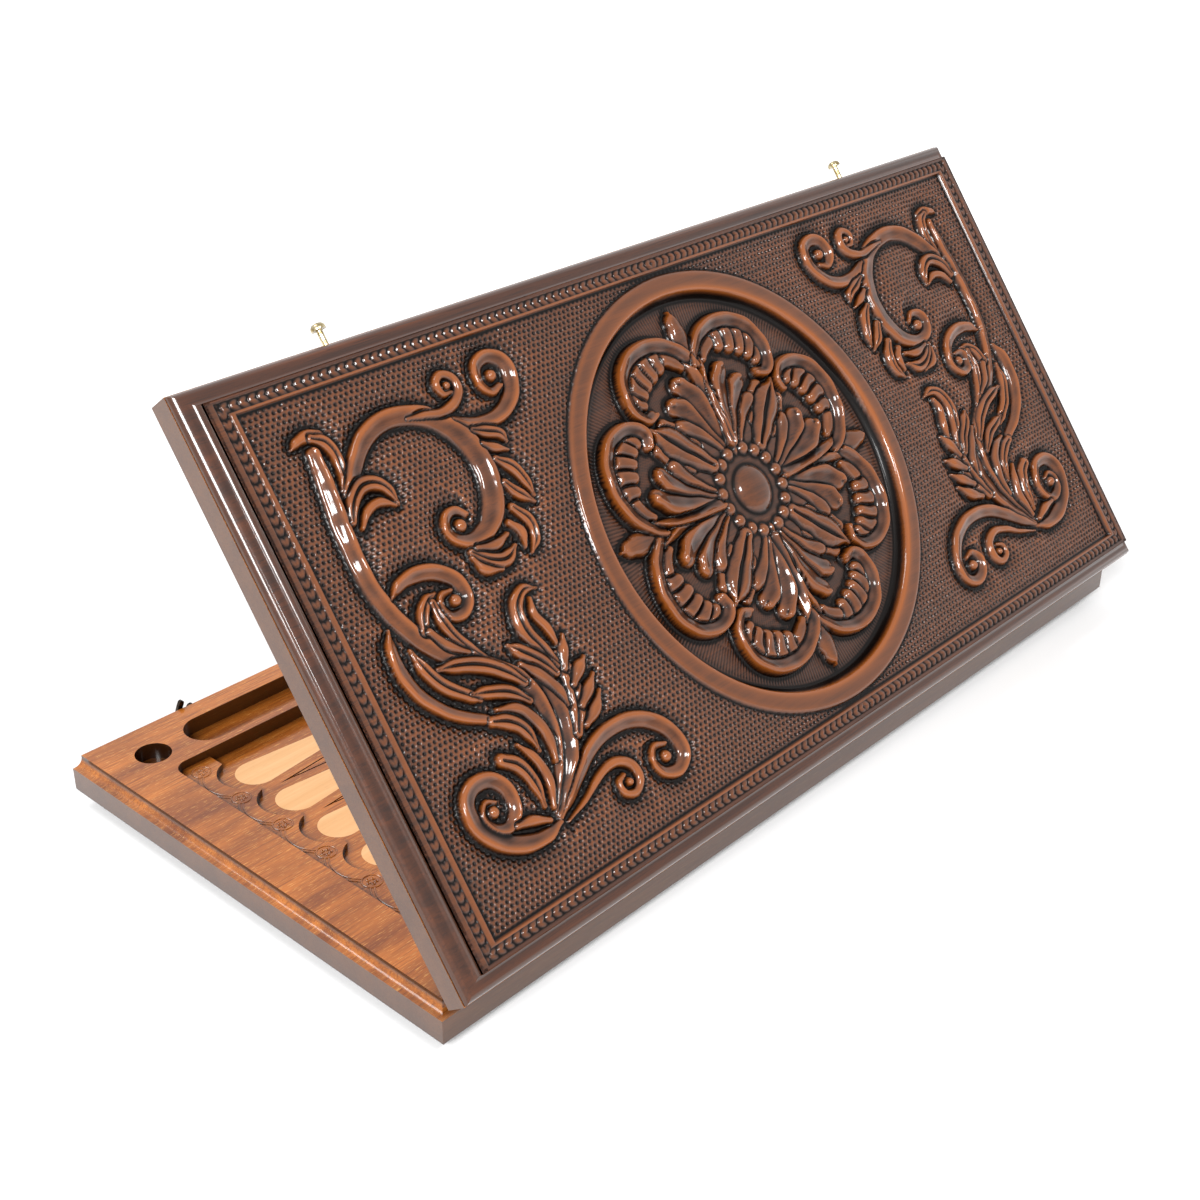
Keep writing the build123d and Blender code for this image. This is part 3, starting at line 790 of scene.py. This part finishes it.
    def punch_marks(self) -> Array:
        """Sets rows of round punch marks, each a little off its place.

        Returns:
            Depth of the marks.
        """
        r = self.relief
        row_pitch = self.punch_pitch * self.punch_row
        row = np.round(r.y / row_pitch)
        along = r.x / self.punch_pitch + 0.5 * (row % 2)
        column = np.round(along)
        (x_column, x_row), (y_column, y_row) = WANDER
        dx = (along - column) * self.punch_pitch + self.punch_wander * np.sin(column * x_column + row * x_row)
        dy = r.y - row * row_pitch + self.punch_wander * np.cos(column * y_column + row * y_row)
        return self.punch_depth * np.exp(-((dx**2 + dy**2) / self.punch_radius**2) ** self.punch_power)

    def carve_ground(self) -> None:
        """Sinks the ground, deeper beside the scrolls, and punches it."""
        r = self.relief
        field_edge = np.minimum((self.from_side - self.fillet_side), (self.from_long - self.fillet_long))
        slope = np.clip(field_edge / self.fillet_slope, 0, 1)
        gap = np.clip(r.gap, 0, None)
        ground = -self.ground - self.moat_depth * np.exp(-((gap / self.moat_reach) ** self.moat_power))
        quirk = self.quirk_depth * np.exp(-(((field_edge - self.quirk_place) / self.quirk_width) ** 2))
        inward = np.clip(field_edge - self.punch_margin, 0, 1) * np.clip(gap - self.punch_clear, 0, 1)
        ground = ground - self.punch_marks() * inward - quirk
        carved = np.where(r.gap < 0, r.height, -FAR)
        r.height = np.where(field_edge > 0, np.maximum(ground * slope, carved), 0.0)

    def carve_rope(self) -> None:
        """Cuts the plaited border, with its mitred corners."""
        r = self.relief
        from_side, from_long = self.from_side - self.rope_side, self.from_long - self.rope_long
        side, far = from_side / (self.rope_width / 2), from_long / (self.rope_width / 2)
        on_side = (np.abs(side) < 1) & (far > -1)
        on_long = (np.abs(far) < 1) & (side > -1) & ~(on_side & (from_long > from_side))
        across = np.where(on_long, far, side)
        along = np.where(on_long, r.x, r.y)
        phase = (along / self.rope_pitch - self.rope_slant * np.abs(across)) % 1.0
        strand = np.sin(pi * np.clip(phase * self.strand_fill, 0, 1)) ** self.strand_power
        edge = np.sqrt(np.clip(1 - across**2, 0, 1))
        spine = self.spine_depth * np.exp(-((across / self.spine_width) ** 2))
        rise = self.rope_rise * edge * (self.rope_valley + (1 - self.rope_valley) * strand)
        rope = np.minimum(rise - self.rope_floor - spine, -self.rope_skin)
        r.height = np.where(on_side | on_long, rope, r.height)

    def carve_bowl(self) -> None:
        """Turns the ring and the bowl, and scores the bowl's floor."""
        r = self.relief
        radius = np.hypot(r.x, r.y - self.middle)
        angle = np.arctan2(r.y - self.middle, r.x)
        inner = self.ring_radius - self.ring_width
        outside = self.ring_moat * np.exp(-((radius - self.ring_radius) / self.ring_moat_width) ** 2)
        r.height = np.where(radius > self.ring_radius, np.minimum(r.height, -outside), r.height)
        from_edge = np.minimum(self.ring_radius - radius, radius - inner)
        falling = 1 - np.clip(from_edge / self.ring_round, 0, 1)
        ring = -self.ring_drop * (1 - np.sqrt(np.clip(1 - falling**2, 0, 1)))
        flange = np.clip((self.from_long - self.fillet_long + self.flange_margin) / self.flange_slope, 0, 1)
        r.height = np.where((radius <= self.ring_radius) & (radius > inner), ring * flange, r.height)
        wall = np.clip((inner - radius) / self.bowl_wall, 0, 1)
        floor = -self.ring_drop - (self.bowl - self.ring_drop) * np.sin(wall * pi / 2)
        waves = self.wave_share * np.sin(2 * pi * radius / self.wave_pitch) * np.sin(angle * self.wave_turns)
        fade = np.clip((radius - self.ray_start) / self.ray_fade, 0, 1)
        rays = self.ray_share * np.sin(angle * self.ray_turns) * fade
        margin = np.clip((inner - self.score_margin - radius) / self.score_fade, 0, 1)
        score = np.where(radius > self.ray_edge, rays, waves) * margin
        r.height = np.where(radius <= inner, floor - np.abs(score) * self.score_depth, r.height)
        r.gap = np.where(radius <= self.ring_radius, FAR, r.gap)

    def polar(self, points: tuple, turn: float, flip: float) -> Array:
        """Turns an arm's points, as distance and angle, into places on the panel.

        Args:
            points: Pairs of distance and angle.
            turn: Direction of the arm in degrees.
            flip: 1 or -1 for the two sides of the arm.

        Returns:
            One row for each point.
        """
        return np.array([[d * cos(radians(turn + flip * a)), self.middle + d * sin(radians(turn + flip * a))]
                         for d, a in points])

    def carve_medallion(self) -> None:
        """Carves the leaves, ribbons, buds, pearls and boss in the bowl."""
        r = self.relief
        foot = -self.bowl
        r.moat, r.full_width, r.groove = self.leaf_moat, self.leaf_full_width, self.leaf_groove
        radius = np.hypot(r.x, r.y - self.middle)
        mound = foot + self.mound_rise * np.clip((self.mound_radius - radius) / self.mound_slope, 0, 1)
        r.height = np.where(radius < self.mound_radius, np.maximum(r.height, mound), r.height)
        turns = [360.0 / self.arms * arm for arm in range(self.arms)]
        for turn in turns:
            r.stroke(self.polar(BUD[0], turn, 1), BUD[1], foot, self.bud_rise, Cut.ROUND)
        for cut, (points, widths), rise in ARM:
            for turn in turns:
                for flip in (1, -1):
                    r.stroke(self.polar(points, turn, flip), widths, foot, rise, cut)
        for index in range(self.pearls):
            turn = 2 * pi * (index + 0.5) / self.pearls + pi
            centre = (self.pearl_ring * cos(turn), self.middle + self.pearl_ring * sin(turn))
            r.dome(centre, self.pearl_radius, foot, self.pearl_rise)
        r.dome((0, self.middle), self.boss_radius + self.collar_width, foot, self.collar_rise)
        r.dome((0, self.middle), self.boss_radius, foot, self.boss_rise)

    def painted_shading(self) -> tuple[Array, Array]:
        """Works out where painted shade darkens the hollows and where wear and painted highlight lighten the
        proud places.

        Returns:
            Shares from 0 to 1 for the hollows and for the proud places.
        """
        height = self.relief.height
        # hollows get painted shade; proud places get wear and painted highlight
        near = blurred(height, self.near_cells) - height
        wide = blurred(height, self.wide_cells) - height
        bowl = np.hypot(self.relief.x, self.relief.y - self.middle) < self.ring_radius - self.ring_width
        wide = np.where(bowl, self.bowl_shade * wide, wide)
        hollow = [(near, self.near_hollow), (wide, self.wide_hollow)]
        proud = [(-near, self.near_proud), (-wide, self.wide_proud)]
        shares = [sum(np.clip(depth / full, 0, 1) * share for depth, (full, share) in kind)
                  for kind in (hollow, proud)]
        return np.clip(shares[0], 0, 1), np.clip(shares[1], 0, 1)

    def tile(self, name: str, x: Array, y: Array, z: Array, marks: dict[str, Array]) -> bpy.types.Object:
        """Builds one closed tile of the panel from a patch of the grid.

        Args:
            name: Name of the piece.
            x: Places along the hinge, a grid in mm.
            y: Places from the hinge.
            z: Heights over the face.
            marks: Values from 0 to 1 to keep at each point.

        Returns:
            The tile.
        """
        rows, columns = x.shape
        top = np.column_stack([x.ravel(), y.ravel(), z.ravel() + SIZES.thickness / MM]) * MM
        back_level = (SIZES.thickness - SIZES.panel) + GLUE_LINE * MM
        order = np.arange(rows * columns).reshape(rows, columns)
        faces = np.stack([order[:-1, :-1], order[1:, :-1], order[1:, 1:], order[:-1, 1:]], -1).reshape(-1, 4)
        rim = np.concatenate([order[:, 0], order[-1, 1:], order[-2::-1, -1], order[0, -2:0:-1]])
        lower = top[rim].copy()
        lower[:, 2] = back_level
        base = len(top) + np.arange(len(rim))
        following, below = np.roll(rim, -1), np.roll(base, -1)
        walls = np.stack([rim, base, below, following], -1)
        loops = np.concatenate([faces.ravel(), walls.ravel(), base[::-1]])
        counts = np.concatenate([np.full(len(faces) + len(walls), 4), [len(rim)]])
        mesh = bpy.data.meshes.new(name)
        points = np.vstack([top, lower])
        mesh.vertices.add(len(points))
        mesh.vertices.foreach_set("co", points.ravel())
        mesh.loops.add(len(loops))
        mesh.loops.foreach_set("vertex_index", loops)
        mesh.polygons.add(len(counts))
        mesh.polygons.foreach_set("loop_start", np.concatenate([[0], np.cumsum(counts)[:-1]]))
        smooth = np.zeros(len(counts), bool)
        smooth[: len(faces)] = True
        mesh.update(calc_edges=True)
        mesh.polygons.foreach_set("use_smooth", smooth)
        ends = np.empty(2 * len(mesh.edges), np.int32)
        mesh.edges.foreach_get("vertices", ends)
        mesh.edges.foreach_set("use_edge_sharp", np.isin(ends.reshape(-1, 2), rim).all(axis=1))
        for mark, values in marks.items():
            layer = mesh.attributes.new(mark, "FLOAT", "POINT")
            layer.data.foreach_set("value", np.concatenate([values.ravel(), np.ones(len(rim))]))
        mesh.transform(SIZES.half_matrix(Half.LID))
        mesh.validate()
        piece = bpy.data.objects.new(name, mesh)
        bpy.context.scene.collection.objects.link(piece)
        return piece

    def build(self) -> list[bpy.types.Object]:
        """Carves the panel and cuts it into tiles.

        Returns:
            The tiles, from left to right.
        """
        self.carve_scroll()
        self.carve_ground()
        self.carve_rope()
        self.carve_bowl()
        self.carve_medallion()
        r = self.relief
        r.height = (1 - self.softening) * r.height + self.softening * blurred(r.height, 1)
        hollow, proud = self.painted_shading()
        count = len(r.columns) // self.tiles_a_side
        tiles = []
        for index, name in enumerate(self.names):
            mirrored = index >= self.tiles_a_side
            part = len(self.names) - 1 - index if mirrored else index
            cut = slice(part * count, (part + 1) * count + 1)
            flip = -1 if mirrored else 1
            arrays = [a[cut][::flip] for a in (r.x * flip, r.y, r.height, hollow, proud)]
            tiles.append(self.tile(name, *arrays[:3], {"hollow": arrays[3], "proud": arrays[4]}))
        return tiles


def swept(name: str, loops: list[Array], closed: bool, matrix: Matrix) -> bpy.types.Object:
    """Builds a piece from matching closed outlines, one after another.

    Args:
        name: Name of the piece.
        loops: Outlines with the same number of points, in mm.
        closed: Whether the last outline joins the first; otherwise both ends are capped.
        matrix: Place of the outlines' frame.

    Returns:
        The piece, with smooth faces and sharp corners.
    """
    size = len(loops[0])
    points = np.vstack(loops) * MM
    faces = []
    for ring in range(len(loops) if closed else len(loops) - 1):
        first, second = ring * size, (ring + 1) % len(loops) * size
        faces += [(first + i, first + (i + 1) % size, second + (i + 1) % size, second + i)
                  for i in range(size)]
    if not closed:
        faces += [tuple(range(size))[::-1], tuple(range(len(points) - size, len(points)))]
    mesh = bpy.data.meshes.new(name)
    mesh.from_pydata(points.tolist(), [], faces)
    mesh.transform(matrix)
    mesh.polygons.foreach_set("use_smooth", np.ones(len(faces), bool))
    mesh.update()
    tidy = bmesh.new()
    tidy.from_mesh(mesh)
    bmesh.ops.recalc_face_normals(tidy, faces=tidy.faces)
    tidy.to_mesh(mesh)
    tidy.free()
    mesh.set_sharp_from_angle(angle=CREASE)
    piece = bpy.data.objects.new(name, mesh)
    bpy.context.scene.collection.objects.link(piece)
    return piece


@dataclass(frozen=True)
class OgeeEdge:
    """The moulded edge round the carved panel: a step, a cove and a round."""

    inset: float = 9.5
    step: float = 1.5
    cove: float = 4.0
    round_width: float = 5.1
    quirk: float = 0.4
    inner: float = 11.0
    segments: int = 14

    def profile(self) -> list[tuple[float, float]]:
        """Outline of the moulding as distance from the panel's edge and level, in mm.

        Returns:
            The closed outline.
        """
        face = SIZES.thickness / MM
        foot = face - SIZES.panel / MM
        cove_edge = self.round_width + self.quirk
        turns = [pi / 2 * i / self.segments for i in range(self.segments + 1)]
        low = face - self.step
        points = [(self.inner, face), (self.inset, face)]
        points += [(cove_edge + self.cove * cos(t), low - self.cove * sin(t)) for t in turns]
        rise = low - self.cove - foot - self.quirk
        points += [(cove_edge - self.round_width * sin(t), foot + self.quirk + rise * cos(t))
                   for t in turns[1:]]
        return points + [(self.quirk, foot + GLUE_LINE), (self.inner, foot + GLUE_LINE)]

    def build(self) -> bpy.types.Object:
        """Runs the moulding round the panel.

        Returns:
            The moulding.
        """
        half, depth = SIZES.width / MM / 2, SIZES.depth / MM
        outline = self.profile()
        near = SIZES.closing_gap / MM
        corners = ((-1, 0), (1, 0), (1, 1), (-1, 1))
        loops = [np.array([(sx * (half - d), near + d if sy == 0 else depth - d, z) for d, z in outline])
                 for sx, sy in corners]
        return swept("lid_ogee_edge", loops, True, SIZES.half_matrix(Half.LID))


@dataclass(frozen=True)
class BandOrnament:
    """Relief along the scallops of a tray: small flowers with double arcs between them."""

    half: Half
    first_row: float = 45.0
    pitch: float = 33.8
    rows: int = 6
    level: float = 5.0
    flower_place: float = 246.5
    flower_radius: float = 5.0
    petals: int = 5
    petal_place: float = 2.1
    petal_radius: float = 0.75
    arc_place: float = 236.0
    arc_radii: tuple[float, float] = (17.6, 19.6)
    arc_reach: float = radians(44)
    # raised bead: half its width, its height, the length of a facet, and its outline as shares of both
    bead: float = 0.45
    relief: float = 0.35
    facet: float = 1.1
    outline: tuple[tuple[float, float], ...] = ((-1, -0.2), (-0.7, 0.6), (0, 1), (0.7, 0.6), (1, -0.2))

    def ring(self, centre: tuple[float, float], radius: float, start: float = 0.0,
             sweep: float = 2 * pi) -> list[Array]:
        """Bends a thin raised bead along an arc.

        Args:
            centre: Middle of the arc in the half's own frame.
            radius: Its radius.
            start: Its first angle.
            sweep: How far it turns, a full turn closing it.

        Returns:
            Its outlines in order.
        """
        steps = max(8, round(sweep * radius / self.facet))
        loops = []
        for index in range(steps if sweep >= 2 * pi else steps + 1):
            turn = start + sweep * index / steps
            places = [(radius + w * self.bead, self.level - h * self.relief) for w, h in self.outline]
            loops.append(np.array([(centre[0] + out * cos(turn), centre[1] + out * sin(turn), level)
                                   for out, level in places]))
        return loops

    def arcs(self, side: int) -> list[list[Array]]:
        """Bends the double arcs of one short side.

        Args:
            side: -1 or 1 for the two short sides.

        Returns:
            The outlines of each arc.
        """
        start = (0.0 if side > 0 else pi) - self.arc_reach
        return [self.ring((side * self.arc_place, self.first_row + self.pitch * row), radius, start,
                          2 * self.arc_reach)
                for row in range(self.rows) for radius in self.arc_radii]

    def flowers(self, side: int) -> list[list[Array]]:
        """Bends the rings and petals of the flowers of one short side.

        Args:
            side: -1 or 1 for the two short sides.

        Returns:
            The outlines of each ring.
        """
        rings = []
        for row in range(self.rows + 1):
            centre = (side * self.flower_place, self.first_row + self.pitch * (row - 0.5))
            rings.append(self.ring(centre, self.flower_radius))
            for petal in range(self.petals):
                turn = 2 * pi * petal / self.petals
                place = (centre[0] + self.petal_place * cos(turn), centre[1] + self.petal_place * sin(turn))
                rings.append(self.ring(place, self.petal_radius))
        return rings

    def build(self) -> list[bpy.types.Object]:
        """Builds the ornament of both short sides.

        Returns:
            One piece for each side.
        """
        made = []
        matrix = SIZES.half_matrix(self.half)
        prefix, words = ("lid", ("left", "right")) if self.half is Half.LID else ("lower", ("right", "left"))
        for side, word in zip((-1, 1), words):
            pieces = [swept("arc", loops, False, matrix) for loops in self.arcs(side)]
            pieces += [swept("flower_ring", loops, True, matrix) for loops in self.flowers(side)]
            with bpy.context.temp_override(active_object=pieces[0], selected_editable_objects=pieces):
                bpy.ops.object.join()
            pieces[0].name = f"{prefix}_band_relief_{word}"
            made.append(pieces[0])
        return made


class Finishes:
    """All materials of the board, each made once."""

    def __init__(self) -> None:
        """Builds the materials."""
        self.border = {half: self.tray_wood(half) for half in Half}
        # the fourth colour of each wood is the painted shade of its recesses and hollows, the fifth the wear
        # and painted highlight of carved proud places
        self.panel = StainedBeech("brown_stained_beech", "5c2e12", "2c1307", "120602", "8a5530",
                                  edge="40220f", coat_roughness=0.14).build()
        self.carved = StainedBeech("carved_brown_beech", "592b0a", "291204", "050100", "8c4a17",
                                   roughness=0.42, recess_shade=0.3, carved=True).build()
        self.point = StainedBeech("pale_beech_inlay", "f5c48a", "e6ac6c", "a86a30", "fadcae",
                                  fleck="c08850", edge="c08850", roughness=0.3, fleck_strength=0.18,
                                  pore_strength=0.3, grain_depth=0.02 * MM, recess_shade=0.35).build()
        self.brass = CastMetal("aged_brass", "c9a25a", "6e5226", 0.28).build()
        self.nickel = CastMetal("pale_brass", "d2c4a0", "8c7a54", 0.16).build()
        self.dark = CastMetal("antiqued_iron", "4a4038", "221c18", 0.34).build()

    def tray_wood(self, half: Half) -> bpy.types.Material:
        """Golden wood of a half's inside, with dark outer edges.

        Args:
            half: The half, whose closing face stays golden.

        Returns:
            Its material.
        """
        face = tuple(SIZES.half_matrix(half).to_3x3() @ Vector((0, 0, 1)))
        # fourth colour: painted shade in the recesses; fifth: wear and painted highlight, unused as this wood
        # is not carved
        return StainedBeech(f"golden_stained_beech_{half.value}", "c07028", "7c3e12", "180702", "c88840",
                            fleck="e6a85a", face=face, fleck_strength=0.75, coat_roughness=0.16,
                            streak_width=16 * MM, streak_length=150 * MM, soft_low=0.3, soft_high=0.6).build()

    def of_slot(self, name: str, half: Half) -> bpy.types.Material:
        """The material that stands for a slot of the record.

        Args:
            name: The slot's name.
            half: The half that the piece is on.

        Returns:
            Its material.
        """
        return {"tray_wood": self.border[half], "panel_wood": self.panel, "point_inlay": self.point,
                "hinge_brass": self.brass, "pin_brass": self.nickel, "hook_metal": self.dark}[name]


def paint(piece: bpy.types.Object, material: bpy.types.Material) -> None:
    """Gives a piece one material.

    Args:
        piece: The piece.
        material: Its finish.
    """
    piece.data.materials.clear()
    piece.data.materials.append(material)


def slot_of(name: str) -> str:
    """The record's slot for a CAD node.

    Args:
        name: The node's name.

    Returns:
        The slot's name.
    """
    if "light_points" in name:
        return "point_inlay"
    if name.startswith("hinge"):
        return "hinge_brass"
    if name.startswith("catch"):
        return "pin_brass"
    if name.startswith("hook"):
        return "hook_metal"
    return "panel_wood" if "panel" in name else "tray_wood"


@dataclass(frozen=True)
class Softbox:
    """A square lamp behind white cloth: where it hangs, what it points at, its side in m and its watts."""

    name: str
    place: tuple[float, float, float]
    aim: tuple[float, float, float]
    size: float
    power: float

    def hang(self) -> None:
        """Hangs the lamp."""
        data = bpy.data.lights.new(self.name, "AREA")
        data.shape = "SQUARE"
        data.size = self.size
        data.energy = self.power
        lamp = bpy.data.objects.new(self.name, data)
        lamp.location = self.place
        lamp.rotation_euler = (Vector(self.aim) - Vector(self.place)).to_track_quat("-Z", "Y").to_euler()
        bpy.context.scene.collection.objects.link(lamp)


@dataclass(frozen=True)
class Studio:
    """White sweep, soft light and the camera, in metres and degrees."""

    camera_place: tuple[float, float, float] = (-0.66628, -0.57216, 0.53616)
    camera_turn: tuple[float, float, float] = (60.99886, -0.24308, -47.20418)
    lens: float = 52.1411
    sensor: float = 36.0
    shift: tuple[float, float] = (0.010668, 0.014877)
    # white card: its reach, its grey, and its own glow, which grows between two distances
    floor_reach: float = 40.0
    floor_grey: float = 0.92
    floor_roughness: float = 0.9
    floor_specular: float = 0.1
    glow_start: float = 0.3
    glow_end: float = 1.1
    glow_near: float = 0.06
    glow_far: float = 0.6
    # how strongly the room lights the board, where 1 is how white it looks
    room_light: float = 0.44
    softboxes: tuple[Softbox, ...] = (
        Softbox("key_softbox", (-1.9, -1.0, 1.5), (0, 0, 0.1), 0.7, 62),
        Softbox("window", (-0.4, -2.0, 2.4), (0, 0, 0.1), 0.5, 34),
        Softbox("back_softbox", (-0.9, 1.6, 2.6), (0, 0, 0.05), 1.0, 26),
    )

    def seen(self, tree: bpy.types.NodeTree) -> Socket:
        """Tells rays from the camera, off shine and through glass from those that only light.

        Args:
            tree: The node tree to add to.

        Returns:
            A socket that is 1 for those rays and 0 for the rest.
        """
        path = node(tree, "ShaderNodeLightPath").outputs
        direct = node(tree, "ShaderNodeMath", {0: path["Is Camera Ray"], 1: path["Is Glossy Ray"]},
                      operation="MAXIMUM")
        return node(tree, "ShaderNodeMath", {0: direct.outputs[0], 1: path["Is Transmission Ray"]},
                    operation="MAXIMUM").outputs[0]

    def floor(self) -> None:
        """Lays a pale floor that the camera sees as white where it isn't shaded."""
        mesh = bpy.data.meshes.new("floor")
        reach = self.floor_reach
        corners = [(-reach, -reach, 0), (reach, -reach, 0), (reach, reach, 0), (-reach, reach, 0)]
        mesh.from_pydata(corners, [], [(0, 1, 2, 3)])
        floor = bpy.data.objects.new("floor", mesh)
        bpy.context.scene.collection.objects.link(floor)
        material = bpy.data.materials.new("white_card")
        material.use_nodes = True
        tree = material.node_tree
        shader = tree.nodes["Principled BSDF"]
        shader.inputs["Base Color"].default_value = (self.floor_grey, self.floor_grey, self.floor_grey, 1)
        shader.inputs["Roughness"].default_value = self.floor_roughness
        shader.inputs["Specular IOR Level"].default_value = self.floor_specular
        shader.inputs["Emission Color"].default_value = (1, 1, 1, 1)
        where = node(tree, "ShaderNodeTexCoord").outputs["Object"]
        away = node(tree, "ShaderNodeVectorMath", {0: where}, operation="LENGTH").outputs["Value"]
        rise = node(tree, "ShaderNodeMapRange", {
            "Value": away, "From Min": self.glow_start, "From Max": self.glow_end,
            "To Min": self.glow_near, "To Max": self.glow_far,
        }).outputs[0]
        glow = node(tree, "ShaderNodeMath", {0: self.seen(tree), 1: rise}, operation="MULTIPLY")
        tree.links.new(glow.outputs[0], shader.inputs["Emission Strength"])
        mesh.materials.append(material)

    def world(self) -> None:
        """White surroundings to the camera and in reflections, softer as light."""
        world = bpy.data.worlds.new("white_room")
        bpy.context.scene.world = world
        world.use_nodes = True
        tree = world.node_tree
        links = {"Value": self.seen(tree), "To Min": self.room_light, "To Max": 1.0}
        strength = node(tree, "ShaderNodeMapRange", links).outputs[0]
        back = tree.nodes["Background"]
        back.inputs["Color"].default_value = (1, 1, 1, 1)
        tree.links.new(strength, back.inputs["Strength"])

    def camera(self) -> None:
        """Sets the camera where the photograph was taken from."""
        data = bpy.data.cameras.new("camera")
        data.lens = self.lens
        data.sensor_width = self.sensor
        data.shift_x, data.shift_y = self.shift
        camera = bpy.data.objects.new("camera", data)
        camera.location = self.camera_place
        camera.rotation_euler = Euler([radians(a) for a in self.camera_turn], "XYZ")
        bpy.context.scene.collection.objects.link(camera)
        bpy.context.scene.camera = camera

    def build(self) -> None:
        """Sets floor, room, lamps and camera."""
        self.floor()
        self.world()
        for softbox in self.softboxes:
            softbox.hang()
        self.camera()
        bpy.context.scene.view_settings.view_transform = "Standard"


class Board:
    """The whole board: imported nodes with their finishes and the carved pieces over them."""

    def __init__(self, nodes: dict[str, bpy.types.Object]) -> None:
        """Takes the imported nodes.

        Args:
            nodes: The frame's nodes by name.
        """
        self.nodes = nodes
        self.finishes = Finishes()

    def dress_nodes(self) -> None:
        """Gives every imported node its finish."""
        for name, piece in self.nodes.items():
            half = Half.LID if name.startswith("lid") else Half.LOWER
            paint(piece, self.finishes.of_slot(slot_of(name), half))
            log.info("%s takes %s", name, slot_of(name))

    def carve_lid(self) -> None:
        """Puts the carved panel in place of the plain one."""
        pieces = CarvedPanel().build()
        edge = OgeeEdge().build()
        for piece in [*pieces, edge]:
            paint(piece, self.finishes.panel if piece is edge else self.finishes.carved)
            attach(piece, Half.LID.value)
            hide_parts("lid_carved_panel")
            log.info("%s has %d faces", piece.name, len(piece.data.polygons))

    def add_band_relief(self) -> None:
        """Adds the small ornament beside the scallops of both trays."""
        for half in Half:
            for piece in BandOrnament(half).build():
                paint(piece, self.finishes.border[half])
                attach(piece, half.value)
                log.info("%s has %d faces", piece.name, len(piece.data.polygons))

    def build(self) -> None:
        """Dresses the board in order."""
        self.dress_nodes()
        self.carve_lid()
        self.add_band_relief()


def main() -> None:
    """Builds the board and its studio."""
    logging.basicConfig(level=logging.INFO, format="%(name)s: %(message)s")
    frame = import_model()
    Board(frame["nodes"]).build()
    Studio().build()


if __name__ == "__main__":
    main()
